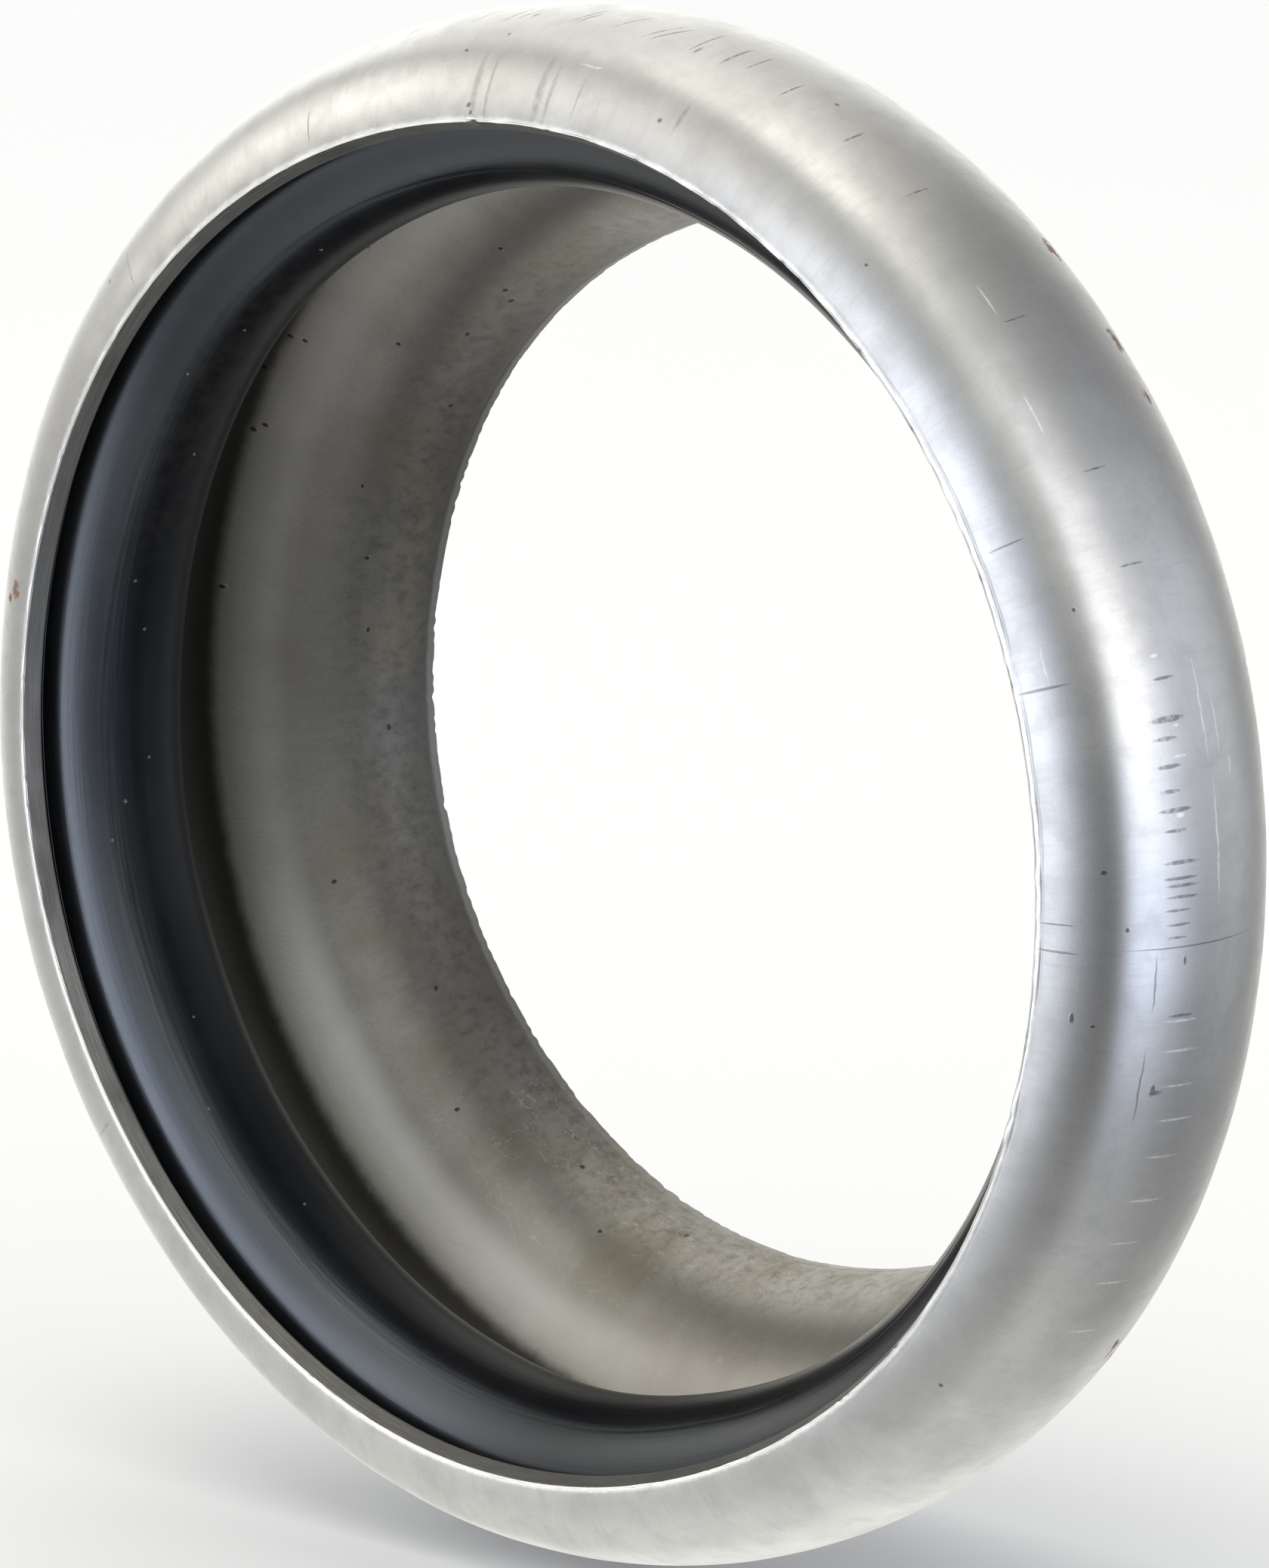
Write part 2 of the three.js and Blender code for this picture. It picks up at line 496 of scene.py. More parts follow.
def place_facing(degrees):
    """How far along the sheet from the lip its outer face points this way, up to the rear bend."""
    facing = np.degrees(np.arctan2(SHEET_NORMALS[:, 1], SHEET_NORMALS[:, 0]))
    rising = slice(0, np.argmax(facing))
    return np.interp(degrees, facing[rising], SHEET_ALONG[rising])


def seal_section():
    """Under the lip and along the bulge, round the leg and the groove, and back over the crown."""
    depth = SHEET + SEAL_GAP
    places = stations((place_facing(FRONT_NORMAL), place_facing(LEG_SWEEP - 1.5), 1.0))
    outside = on_sheet(places, depth)
    leg_place = place_facing(LEG_SWEEP)
    leg_outer = on_sheet(leg_place, depth)
    leg_inner = on_sheet(leg_place, depth + LEG_TIP)
    crown_end = 180.0 - CROWN_BACK_SWEEP
    crown_back = on_arc(CROWN, CROWN_ARC, crown_end)
    crown_front = on_arc(CROWN, CROWN_ARC, 270.0)
    groove_out = on_arc(GROOVE, GROOVE_ARC, 0.0)
    groove_in = on_arc(GROOVE, GROOVE_ARC, -180.0)
    return joined([
        outside,
        rounded(outside[-1], leg_outer, leg_inner, 0.6),
        rounded(leg_outer, leg_inner, groove_out, 0.6),
        line(leg_inner + (groove_out - leg_inner) * 0.06, groove_out, 1.2),
        arc(GROOVE, GROOVE_ARC, 0.0, -180.0, 0.7),
        line(groove_in, crown_back + (groove_in - crown_back) * 0.16, 1.0),
        rounded(groove_in, crown_back, on_arc(CROWN, CROWN_ARC, crown_end + 6.0), 1.0),
        arc(CROWN, CROWN_ARC, crown_end + 6.0, 268.0, 0.26),
        rounded(on_arc(CROWN, CROWN_ARC, 268.0), crown_front, outside[0], 0.5),
        line(crown_front + (outside[0] - crown_front) * 0.15, outside[0], 0.6)[:-1],
    ])


def mould_lines(turn, on_crown):
    """Depth of the lines round the crown."""
    depth = np.zeros((RING_STEPS, len(turn)))
    for number, degrees in enumerate(MOULD_LINES):
        wander = degrees + MOULD_LINE_WANDER * ring_noise(50 + number, 3, 40, 0.8)
        depth += MOULD_LINE_DEPTH * bell(turn[None, :], wander[:, None], MOULD_LINE_WIDTH) * on_crown
    return depth


def seal_piece(material):
    points = seal_section()
    normals = normals_of(points)
    offset = points - CROWN
    turn = np.degrees(np.arctan2(offset[:, 1], offset[:, 0])) % 360.0
    on_crown = np.abs(np.linalg.norm(offset, axis=1) - CROWN_ARC) < ON_CROWN
    free = np.clip((FREE_INSIDE - points[:, 0]) / FREE_OVER, 0.0, 1.0)
    raised = SEAL_SWELL * ring_noise(60, 3, 14, 0.5)[:, None] * free - mould_lines(turn, on_crown)
    shift = CROWN_SHIFT[0] * np.cos(ANGLES) + CROWN_SHIFT[1] * np.sin(ANGLES)
    radius = points[:, 0] + out_of_round()[:, None] + raised * normals[:, 0] + shift[:, None] * free
    place = points[:, 1] + raised * normals[:, 1]
    crown_place = np.where(on_crown, np.radians(turn - 180.0) * CROWN_ARC, OFF_CROWN)
    return ring_object("rubber_seal", radius, place, crown_place, [material])


# ---------------------------------------------------------------- shader graphs

FLAT_WANDER = (0.14, 0.7, 0.0)  # millimetres along the ring and across it
FLAT_WANDER_SCALE = 0.45
LEAN_FROM = 20.0  # place on the sheet that leaning marks turn about
LEAN = 0.4  # millimetres along the ring for each millimetre across it
FAR_FROM_MARKS = 9.0


class Graph:
    """Short calls for the nodes of one shader."""

    def __init__(self, tree):
        self.tree = tree
        tree.nodes.clear()

    def node(self, kind, inputs=None, **settings):
        made = self.tree.nodes.new("ShaderNode" + kind)
        for key, value in settings.items():
            setattr(made, key, value)
        for key, value in (inputs or {}).items():
            self.put(made.inputs[key], value)
        return made

    def put(self, socket, value):
        if isinstance(value, bpy.types.NodeSocket):
            self.tree.links.new(value, socket)
        else:
            socket.default_value = value

    def math(self, operation, a, b=0.0, c=0.0):
        return self.node("Math", {0: a, 1: b, 2: c}, operation=operation).outputs[0]

    def times(self, *values):
        total = values[0]
        for value in values[1:]:
            total = self.math("MULTIPLY", total, value)
        return total

    def plus(self, *values):
        total = values[0]
        for value in values[1:]:
            total = self.math("ADD", total, value)
        return total

    def rise(self, value, low, high, start=0.0, end=1.0):
        """A smooth rise from start to end while the value goes from low to high."""
        inputs = {"Value": value, "From Min": low, "From Max": high, "To Min": start, "To Max": end}
        return self.node("MapRange", inputs, interpolation_type="SMOOTHSTEP").outputs["Result"]

    def band(self, value, low, high, soft):
        """1 between two values, with soft ends."""
        up = self.rise(value, low - soft, low + soft)
        down = self.rise(value, high - soft, high + soft, 1.0, 0.0)
        return self.times(up, down)

    def sheet(self):
        return self.node("Attribute", attribute_name="sheet").outputs["Vector"]

    def stretch(self, vector, factors):
        return self.node("VectorMath", {0: vector, 1: factors}, operation="MULTIPLY").outputs[0]

    def split(self, vector):
        return self.node("SeparateXYZ", {0: vector}).outputs

    def noise(self, vector, scale, detail=3.0, roughness=0.55):
        inputs = {"Vector": vector, "Scale": scale, "Detail": detail, "Roughness": roughness}
        return self.node("TexNoise", inputs).outputs["Fac"]

    def mix(self, factor, a, b):
        made = self.node("Mix", {0: factor, 6: a, 7: b}, data_type="RGBA")
        return made.outputs[2]

    def near_angle(self, vector, degrees, inner, outer):
        """1 within the inner angle of a ring angle, and 0 beyond the outer one."""
        angle = math.radians(degrees)
        ahead = (math.cos(angle) / SHEET_R, math.sin(angle) / SHEET_R, 0.0)
        dot = self.node("VectorMath", {0: vector, 1: ahead}, operation="DOT_PRODUCT").outputs["Value"]
        return self.rise(dot, math.cos(math.radians(outer)), math.cos(math.radians(inner)))

    def spot(self, vector, degrees, place, size, ragged):
        """1 at a point of the sheet and 0 beyond its size, in millimetres, with a ragged edge."""
        angle = math.radians(degrees)
        point = (SHEET_R * math.cos(angle), SHEET_R * math.sin(angle), place)
        apart = self.node("VectorMath", {0: vector, 1: point}, operation="DISTANCE").outputs["Value"]
        apart = self.plus(apart, self.times(ragged, size))
        return self.rise(apart, size * 0.45, size, 1.0, 0.0)

    def flat(self, sheet, lean=0.0):
        """The sheet rolled out, in millimetres: along the ring, and from the lip, with a little wander."""
        parts = self.split(sheet)
        along = self.times(self.math("ARCTAN2", parts[1], parts[0]), SHEET_R)
        along = self.plus(along, self.times(self.math("SUBTRACT", parts[2], LEAN_FROM), lean))
        rolled = self.node("CombineXYZ", {"X": along, "Y": parts[2]}).outputs[0]
        inputs = {"Vector": sheet, "Scale": FLAT_WANDER_SCALE, "Detail": 3.0}
        shake = self.node("TexNoise", inputs).outputs["Color"]
        inputs = {0: shake, 1: FLAT_WANDER, 2: rolled}
        return self.node("VectorMath", inputs, operation="MULTIPLY_ADD").outputs[0]

    def marks(self, flat, table, soft=0.5):
        """1 in the middle of each mark of a table and 0 outside it."""
        nearest = FAR_FROM_MARKS
        for degrees, place, half_width, half_length in table:
            centre = math.radians(degrees) * SHEET_R
            factors = (1.0 / half_width, 1.0 / half_length, 0.0)
            offset = (-centre / half_width, -place / half_length, 0.0)
            inputs = {0: flat, 1: factors, 2: offset}
            scaled = self.node("VectorMath", inputs, operation="MULTIPLY_ADD").outputs[0]
            far = self.node("VectorMath", {0: scaled}, operation="LENGTH").outputs["Value"]
            nearest = self.math("MINIMUM", nearest, far)
        return self.rise(nearest, soft, 1.0, 1.0, 0.0)

    def uneven(self, value):
        """A noise moved to lie on both sides of 0."""
        return self.math("SUBTRACT", value, 0.5)

    def bump(self, height, distance):
        inputs = {"Height": height, "Distance": distance, "Strength": 1.0}
        return self.node("Bump", inputs).outputs["Normal"]


def rgb(red, green, blue):
    return (red, green, blue, 1.0)


def new_material(name):
    material = bpy.data.materials.new(name)
    material.use_nodes = True
    return material, Graph(material.node_tree)


def finish_material(graph, **sockets):
    shader = graph.node("BsdfPrincipled")
    for name, value in sockets.items():
        graph.put(shader.inputs[name.replace("_", " ")], value)
    output = graph.node("OutputMaterial")
    graph.tree.links.new(shader.outputs[0], output.inputs[0])


# ---------------------------------------------------------------- steel

CLEAN_STEEL = rgb(0.602, 0.604, 0.612)
DULL_STEEL = rgb(0.530, 0.530, 0.534)
DARK_GRAIN = rgb(0.36, 0.36, 0.37)
PALE_STREAK = rgb(0.72, 0.72, 0.73)
MOTTLED_STEEL = rgb(0.42, 0.42, 0.43)
DARK_MARK = rgb(0.13, 0.13, 0.135)
PALE_MARK = rgb(0.88, 0.88, 0.90)
RUBBED_EDGE = rgb(0.94, 0.945, 0.955)
RUST = rgb(0.27, 0.115, 0.045)
OUTSIDE_BUMP = 0.00003  # metres

# Tints over the outside, as (noise, value where it starts, value where it is full, strength, colour)
OUTSIDE_TINTS = (
    ("fine", 0.52, 0.75, 0.16, DARK_GRAIN),
    ("coarse", 0.5, 0.7, 0.10, PALE_STREAK),
    ("mottle", 0.45, 0.68, 0.30, MOTTLED_STEEL),
    ("grain", 0.5, 0.72, 0.22, DARK_GRAIN),
)

# Rust spots on the outside, as (ring angle, millimetres from the lip's corner, size)
RUST_SPOTS = (
    (168.8, 4.6, 1.5),
    (169.8, 6.4, 0.9),
    (48.8, 41.5, 2.0),
    (40.5, 42.5, 2.0),
    (35.8, 41.8, 1.2),
    (-36.2, 35.2, 1.5),
    (-38.0, 38.0, 1.0),
    (-120.0, 46.0, 3.0),
    (120.0, 55.0, 2.5),
)

# Marks in the outside, as (ring angle, millimetres from the lip's corner, half width along the
# ring, half length across it)
LEANING_STROKES = (
    (94.3, 21.5, 0.26, 3.2), (93.2, 21.5, 0.20, 2.4), (92.3, 21.0, 0.35, 0.9), (88.0, 22.5, 0.24, 3.9),
    (87.4, 21.8, 0.28, 2.4), (84.1, 22.5, 0.18, 3.6), (80.9, 22.5, 0.20, 3.9), (80.1, 22.3, 0.26, 3.7),
    (97.6, 21.0, 0.20, 2.2), (104.0, 21.0, 0.20, 2.6),
)
STROKES = (
    (76.8, 23.5, 0.18, 4.5), (76.3, 20.6, 0.25, 1.2), (73.8, 23.2, 0.24, 4.2), (72.0, 24.2, 0.18, 3.4),
    (68.0, 22.5, 0.18, 3.0), (61.5, 22.0, 0.18, 2.4), (55.0, 22.6, 0.16, 2.6), (43.0, 22.2, 0.16, 2.6),
    (31.0, 22.0, 0.18, 2.2), (24.0, 22.3, 0.18, 2.4),
    (16.0, 22.5, 0.24, 2.0), (13.2, 22.0, 0.50, 3.4), (11.9, 21.2, 0.30, 2.4), (10.0, 21.2, 0.34, 2.3),
    (8.3, 20.9, 0.30, 2.0), (7.0, 21.6, 0.36, 3.3), (5.6, 21.2, 0.24, 2.1), (3.4, 22.0, 0.30, 3.4),
    (2.3, 21.8, 0.24, 3.2), (1.8, 22.1, 0.26, 3.2), (1.0, 22.1, 0.24, 3.2), (0.1, 21.4, 0.22, 2.4),
    (-0.9, 21.4, 0.22, 2.4), (-1.8, 21.2, 0.18, 2.0), (-7.4, 22.8, 0.24, 2.4), (-13.0, 20.6, 0.40, 1.4),
)
DIE_MARKS = (
    (93.0, 5.6, 0.95, 7.4), (91.6, 5.2, 0.46, 7.0), (86.2, 5.6, 1.00, 7.4), (85.1, 5.2, 0.55, 7.0),
    (82.3, 6.0, 0.24, 4.4), (72.4, 8.6, 0.5, 3.4), (137.0, 6.0, 0.4, 5.0), (216.0 - 360.0, 6.0, 0.4, 5.0),
)
SCRATCHES = (
    (17.0, 5.0, 0.26, 4.6), (-2.9, 3.8, 0.20, 4.0), (-2.5, 25.0, 0.14, 14.0), (-0.8, 3.8, 0.15, 3.2),
    (-5.0, 18.2, 4.4, 0.14), (-12.6, 17.9, 6.0, 0.16), (28.0, 6.0, 0.15, 3.4), (112.0, 5.0, 0.15, 3.0),
)
PALE_MARKS = (
    (13.4, 28.3, 8.0, 0.22), (4.4, 28.9, 9.0, 0.24), (12.2, 30.9, 4.6, 0.20), (74.0, 33.0, 10.0, 0.50),
    (82.5, 11.0, 2.6, 0.22), (18.6, 6.1, 3.2, 0.20), (-10.0, 24.0, 0.20, 3.8), (-7.8, 23.2, 0.20, 3.6),
    (-12.6, 24.4, 0.18, 3.6), (-15.2, 25.2, 0.20, 4.2), (-18.0, 24.6, 0.18, 3.6), (-21.5, 24.0, 0.22, 4.0),
    (-25.0, 23.0, 0.18, 3.6), (-28.5, 24.4, 0.20, 3.8), (-33.0, 23.8, 0.18, 3.2), (36.0, 17.0, 3.4, 0.25),
    (17.6, 21.8, 0.30, 0.8), (12.7, 23.2, 0.25, 0.7), (10.6, 23.2, 0.22, 1.2), (6.6, 22.2, 0.40, 0.9),
    (45.0, 20.0, 2.8, 0.22), (9.3, 33.0, 1.4, 0.4), (-174.5, 0.35, 1.1, 0.6), (-165.7, 0.45, 1.7, 0.7),
)
PITS = (
    (-1.0, 13.8, 0.38, 0.38), (-3.5, 22.8, 0.70, 0.32), (-7.8, 6.8, 0.85, 0.38), (3.2, 10.4, 0.42, 0.55),
    (-12.8, 20.0, 1.0, 0.5), (-8.2, 9.8, 0.34, 0.5), (74.0, 7.0, 0.42, 0.42), (92.9, 0.7, 0.75, 0.85),
    (93.4, 3.1, 0.58, 0.55), (93.1, 1.9, 0.40, 0.50), (65.0, 25.4, 0.42, 0.42), (95.4, 11.6, 0.42, 0.42),
    (92.3, 15.0, 0.34, 0.34), (22.0, 12.0, 0.36, 0.36), (-41.0, 9.0, 0.4, 0.4), (140.0, 9.0, 0.4, 0.5),
    (-150.0, 14.0, 0.5, 0.4), (52.0, 9.0, 0.36, 0.4),
)


def line_marks(graph, vector, scale, width, detail=2.0):
    """Thin lines where a noise passes its middle value."""
    value = graph.noise(vector, scale, detail)
    apart = graph.math("ABSOLUTE", graph.uneven(value))
    return graph.rise(apart, 0.0, width, 1.0, 0.0)


def outside_marks(g, sheet):
    """How dark, how pale and how deep the marks in the outside are."""
    straight, leaning = g.flat(sheet), g.flat(sheet, LEAN)
    strokes = g.math("MAXIMUM", g.marks(straight, STROKES, 0.6), g.marks(leaning, LEANING_STROKES, 0.6))
    broken = g.rise(g.noise(sheet, 1.1, 3.0), 0.36, 0.54, 0.45, 1.0)
    strokes = g.times(strokes, broken)
    scratches = g.marks(straight, SCRATCHES)
    faint = g.rise(g.noise(sheet, 0.9, 4.0), 0.3, 0.6, 0.4, 1.0)
    die = g.times(g.marks(straight, DIE_MARKS, 0.2), faint)
    pits = g.marks(straight, PITS)
    dark = g.math("MAXIMUM", g.times(strokes, 0.72), g.times(pits, 0.8))
    dark = g.math("MAXIMUM", dark, g.math("MAXIMUM", g.times(scratches, 0.6), g.times(die, 0.40)))
    pale = g.times(g.marks(straight, PALE_MARKS), broken)
    depth = g.plus(g.times(strokes, 0.6), g.times(scratches, 0.5), g.times(die, 0.3), pits)
    return dark, pale, depth


def outside_rust(g, sheet, ragged):
    """1 where the outside has rusted."""
    rust = 0.0
    for degrees, where, size in RUST_SPOTS:
        rust = g.math("MAXIMUM", rust, g.spot(sheet, degrees, where, size, g.times(ragged, 3.0)))
    return rust


def outside_noises(g, sheet):
    brushed = g.stretch(sheet, (1.0, 1.0, 0.12))
    spun = g.stretch(sheet, (0.05, 0.05, 1.0))
    return {
        "fine": g.noise(brushed, 1.3, 4.0),
        "coarse": g.noise(brushed, 0.16, 3.0),
        "turned": g.noise(spun, 0.9, 3.0),
        "blotch": g.noise(sheet, 0.045, 5.0, 0.6),
        "mottle": g.noise(sheet, 0.22, 4.0, 0.6),
        "grain": g.noise(sheet, 4.2, 3.0, 0.6),
    }


def outside_base(g, noises):
    """Colour of the outside before its marks."""
    base = g.mix(g.rise(noises["blotch"], 0.35, 0.68), CLEAN_STEEL, DULL_STEEL)
    for name, low, high, strength, colour in OUTSIDE_TINTS:
        base = g.mix(g.rise(noises[name], low, high, 0.0, strength), base, colour)
    return base


def outside_roughness(g, noises, rust, pale, edge):
    rough = g.plus(0.275, g.times(g.uneven(noises["fine"]), 0.10))
    rough = g.plus(rough, g.times(g.uneven(noises["blotch"]), 0.16))
    rough = g.plus(rough, g.times(g.uneven(noises["mottle"]), 0.12))
    return g.plus(rough, g.times(rust, 0.3), g.times(pale, 0.12), g.times(edge, -0.06))


def steel_outside():
    material, g = new_material("steel_outside")
    sheet = g.sheet()
    place = g.split(sheet)[2]
    noises = outside_noises(g, sheet)
    ragged = g.uneven(g.noise(sheet, 0.9, 3.0))
    dark, pale, depth = outside_marks(g, sheet)
    rust = outside_rust(g, sheet, ragged)
    edge = g.rise(g.plus(place, g.times(ragged, 0.6)), 0.55, 1.25, 1.0, 0.0)

    base = g.mix(dark, outside_base(g, noises), DARK_MARK)
    base = g.mix(g.times(pale, 0.7), base, PALE_MARK)
    base = g.mix(g.times(rust, 0.8), base, RUST)
    base = g.mix(g.times(edge, 0.85), base, RUBBED_EDGE)
    rough = outside_roughness(g, noises, rust, pale, edge)
    height = g.plus(g.times(noises["fine"], 0.22), g.times(noises["turned"], 0.10))
    height = g.plus(height, g.times(noises["grain"], 0.12), g.times(depth, -0.8))
    normal = g.bump(height, OUTSIDE_BUMP)
    finish_material(g, Base_Color=base, Metallic=0.95, Roughness=rough, Normal=normal)
    return material


CUT_DARK_LINE = rgb(0.19, 0.188, 0.185)
CUT_PALE_LINE = rgb(0.26, 0.258, 0.25)
CUT_PATCH = rgb(0.12, 0.115, 0.11)
CUT_BUMP = 0.00006  # metres


def steel_cut_face():
    material, g = new_material("steel_cut_face")
    sheet = g.sheet()
    lines = g.noise(g.stretch(sheet, (0.02, 0.02, 1.0)), 5.0, 3.0)
    patch = g.noise(g.stretch(sheet, (1.0, 1.0, 1.5)), 0.10, 3.0)
    base = g.mix(g.rise(lines, 0.3, 0.7), CUT_DARK_LINE, CUT_PALE_LINE)
    base = g.mix(g.rise(patch, 0.5, 0.75, 0.0, 0.5), base, CUT_PATCH)
    rough = g.rise(patch, 0.3, 0.7, 0.42, 0.55)
    normal = g.bump(lines, CUT_BUMP)
    finish_material(g, Base_Color=base, Metallic=0.9, Roughness=rough, Normal=normal)
    return material


# Pits in the throat, as (ring angle, y, half width along the ring, half length across it)
THROAT_PITS = (
    (145.9, -28.8, 0.32, 0.30), (145.6, -27.6, 0.30, 0.28), (149.0, -30.0, 0.42, 0.34),
    (149.8, -29.6, 0.34, 0.3), (155.8, -28.6, 0.42, 0.40), (155.0, -27.8, 0.34, 0.36),
    (133.5, -27.6, 0.42, 0.36), (171.0, -28.5, 0.4, 0.4), (124.0, -18.6, 0.5, 0.4),
    (129.2, -13.2, 0.6, 0.5), (130.5, -11.0, 0.7, 0.5), (136.8, -13.0, 0.6, 0.4),
    (146.8, -8.6, 0.5, 0.5), (141.0, -20.0, 0.4, 0.3), (158.0, -17.0, 0.5, 0.3),
    (166.0, -14.0, 0.5, 0.5), (174.0, -12.5, 0.6, 0.3), (-175.0, -9.0, 0.7, 0.4),
    (-160.0, -20.0, 0.4, 0.4), (-146.0, -12.0, 0.6, 0.4), (-133.0, -18.0, 0.4, 0.4),
    (-120.0, -9.0, 0.7, 0.5), (-112.0, -15.0, 0.5, 0.4), (-105.0, -7.0, 0.6, 0.4),
)

# Parts of the throat that look different, as (ring angle, degrees from it where the difference is
# still whole, degrees where it is gone)
# Lighter low down: wear, with painted light where light from above falls on the throat
WEAR_AND_PAINTED_LIGHT_AT = (-96.0, 10.0, 34.0)
# Painted light: lighter where light falls on the throat beside the seal
PAINTED_LIGHT_AT = (-130.0, 8.0, 40.0)
# Painted shade: darker on the left towards the weld end, where little light falls
PAINTED_SHADE_AT = (168.0, 30.0, 75.0)
SCRAPED_AT = (-108.0, 14.0, 34.0)

# Bands round the throat, as (y where it starts, y where it ends, softness)
# Painted light: the lit band of throat beside the seal
PAINTED_LIGHT_BAND = (-28.8, -24.0, 1.8)
STAINED_BAND = (-22.0, -3.0, 4.0)
PAINTED_SEAL_SHADE_END = (-30.0, -28.5)  # y where the painted shade beside the seal starts to thin, and ends: a dark band for the seal's shadow and its reflection in the throat
REAR_START = (-22.0, -3.5)  # y over which the throat turns dirtier
RIM_START = (-2.1, -1.2)  # y over which the bare rim at the weld end starts

THROAT_CLEAN = rgb(0.310, 0.298, 0.278)
THROAT_DULL = rgb(0.270, 0.260, 0.240)
THROAT_GRAIN = rgb(0.19, 0.182, 0.168)
# Lighter colour for wear with painted light, then the colour of painted light
THROAT_WEAR_AND_PAINTED_LIGHT = rgb(0.58, 0.56, 0.51)
THROAT_PAINTED_LIGHT = rgb(0.66, 0.645, 0.615)
# Painted shade
THROAT_PAINTED_SHADE = rgb(0.105, 0.10, 0.092)
STAIN = rgb(0.27, 0.235, 0.155)
DIRT = rgb(0.075, 0.072, 0.066)
PIT = rgb(0.04, 0.035, 0.03)
SCRAPED = rgb(0.55, 0.53, 0.50)
RIM = rgb(0.46, 0.445, 0.43)
# Painted shade: near black, for the seal's shadow and reflection on the throat beside it
PAINTED_SEAL_SHADE = rgb(0.014, 0.0125, 0.011)
THROAT_BUMP = 0.00006  # metres


def throat_light_parts(g, sheet, place, base):
    """Lighter low on the right, partly wear and partly painted light, and a band beside the seal lighter
    with painted light.
    """
    # Wear with painted light low down, then painted light in a band beside the seal
    base = g.mix(g.times(g.near_angle(sheet, *WEAR_AND_PAINTED_LIGHT_AT), 0.45), base, THROAT_WEAR_AND_PAINTED_LIGHT)
    painted_light = g.rise(g.near_angle(sheet, *PAINTED_LIGHT_AT), 0.0, 1.0, 0.35, 1.0)
    painted_light = g.times(painted_light, g.band(place, *PAINTED_LIGHT_BAND))
    return g.mix(g.times(painted_light, 0.85), base, THROAT_PAINTED_LIGHT)


def throat_dark_parts(g, sheet, place, blotch, mottle, base):
    """Stained and dirty towards the weld end, and on the left darker there with painted shade. Also gives
    how far towards it a point lies.
    """
    to_rear = g.rise(g.plus(place, g.times(g.uneven(mottle), 7.0)), *REAR_START)
    # Painted shade on the left, towards the weld end
    dark = g.rise(g.near_angle(sheet, *PAINTED_SHADE_AT), 0.0, 1.0, 0.2, 0.9)
    base = g.mix(g.times(to_rear, dark), base, THROAT_PAINTED_SHADE)
    stained = g.times(g.rise(blotch, 0.47, 0.66), g.band(place, *STAINED_BAND), 0.40)
    base = g.mix(stained, base, STAIN)
    dirty = g.times(g.rise(mottle, 0.40, 0.74), to_rear, 0.60)
    return g.mix(dirty, base, DIRT), to_rear


def throat_edges(g, sheet, place, uneven, base):
    """Scrapes, the bare rim at the weld end, and painted shade beside the seal: a dark band that stands
    for the seal's shadow and its reflection in the throat.
    """
    scraped = line_marks(g, g.stretch(sheet, (0.3, 0.3, 1.0)), 0.3, 0.006)
    scraped = g.times(scraped, g.near_angle(sheet, *SCRAPED_AT), 0.5)
    base = g.mix(scraped, base, SCRAPED)
    rim = g.rise(g.plus(place, g.times(uneven, 1.2)), *RIM_START, 0.0, 0.35)
    base = g.mix(rim, base, RIM)
    # Painted shade beside the seal, in place of its shadow and reflection
    painted_seal_shade = g.rise(g.plus(place, g.times(uneven, 0.7)), *PAINTED_SEAL_SHADE_END, 1.0, 0.0)
    return g.mix(g.times(painted_seal_shade, 0.84), base, PAINTED_SEAL_SHADE)


def steel_throat():
    material, g = new_material("steel_throat")
    sheet = g.sheet()
    place = g.split(sheet)[2]
    blotch = g.noise(sheet, 0.06, 5.0, 0.62)
    mottle = g.noise(sheet, 0.42, 6.0, 0.70)
    grain = g.noise(sheet, 1.8, 4.0, 0.6)
    spun = g.noise(g.stretch(sheet, (0.03, 0.03, 1.0)), 0.8, 3.0)
    pit = g.marks(g.flat(sheet), THROAT_PITS)

    base = g.mix(g.rise(blotch, 0.35, 0.65), THROAT_CLEAN, THROAT_DULL)
    base = g.mix(g.rise(grain, 0.45, 0.7, 0.0, 0.30), base, THROAT_GRAIN)
    base = throat_light_parts(g, sheet, place, base)
    base, to_rear = throat_dark_parts(g, sheet, place, blotch, mottle, base)
    base = g.mix(g.times(pit, 0.85), base, PIT)
    base = throat_edges(g, sheet, place, g.uneven(mottle), base)
    rough = g.plus(0.42, g.times(to_rear, 0.08), g.times(g.uneven(blotch), 0.2))
    height = g.plus(g.times(mottle, 0.5), g.times(grain, 0.4), g.times(spun, 0.2), g.times(pit, -1.5))
    normal = g.bump(height, THROAT_BUMP)
    finish_material(g, Base_Color=base, Metallic=0.85, Roughness=rough, Normal=normal)
    return material


TORN_DARK = rgb(0.34, 0.33, 0.31)
TORN_PALE = rgb(0.56, 0.55, 0.53)
END_RUST = rgb(0.30, 0.22, 0.15)
END_BUMP = 0.00022  # metres


def steel_weld_end():
    material, g = new_material("steel_weld_end")
    sheet = g.sheet()
    torn = g.noise(g.stretch(sheet, (1.0, 1.0, 0.4)), 1.1, 4.0, 0.65)
    patch = g.noise(sheet, 0.12, 3.0)
    base = g.mix(g.rise(torn, 0.35, 0.65), TORN_DARK, TORN_PALE)
    base = g.mix(g.rise(patch, 0.55, 0.7, 0.0, 0.4), base, END_RUST)
    normal = g.bump(torn, END_BUMP)
    finish_material(g, Base_Color=base, Metallic=0.85, Roughness=0.48, Normal=normal)
    return material


# ---------------------------------------------------------------- rubber

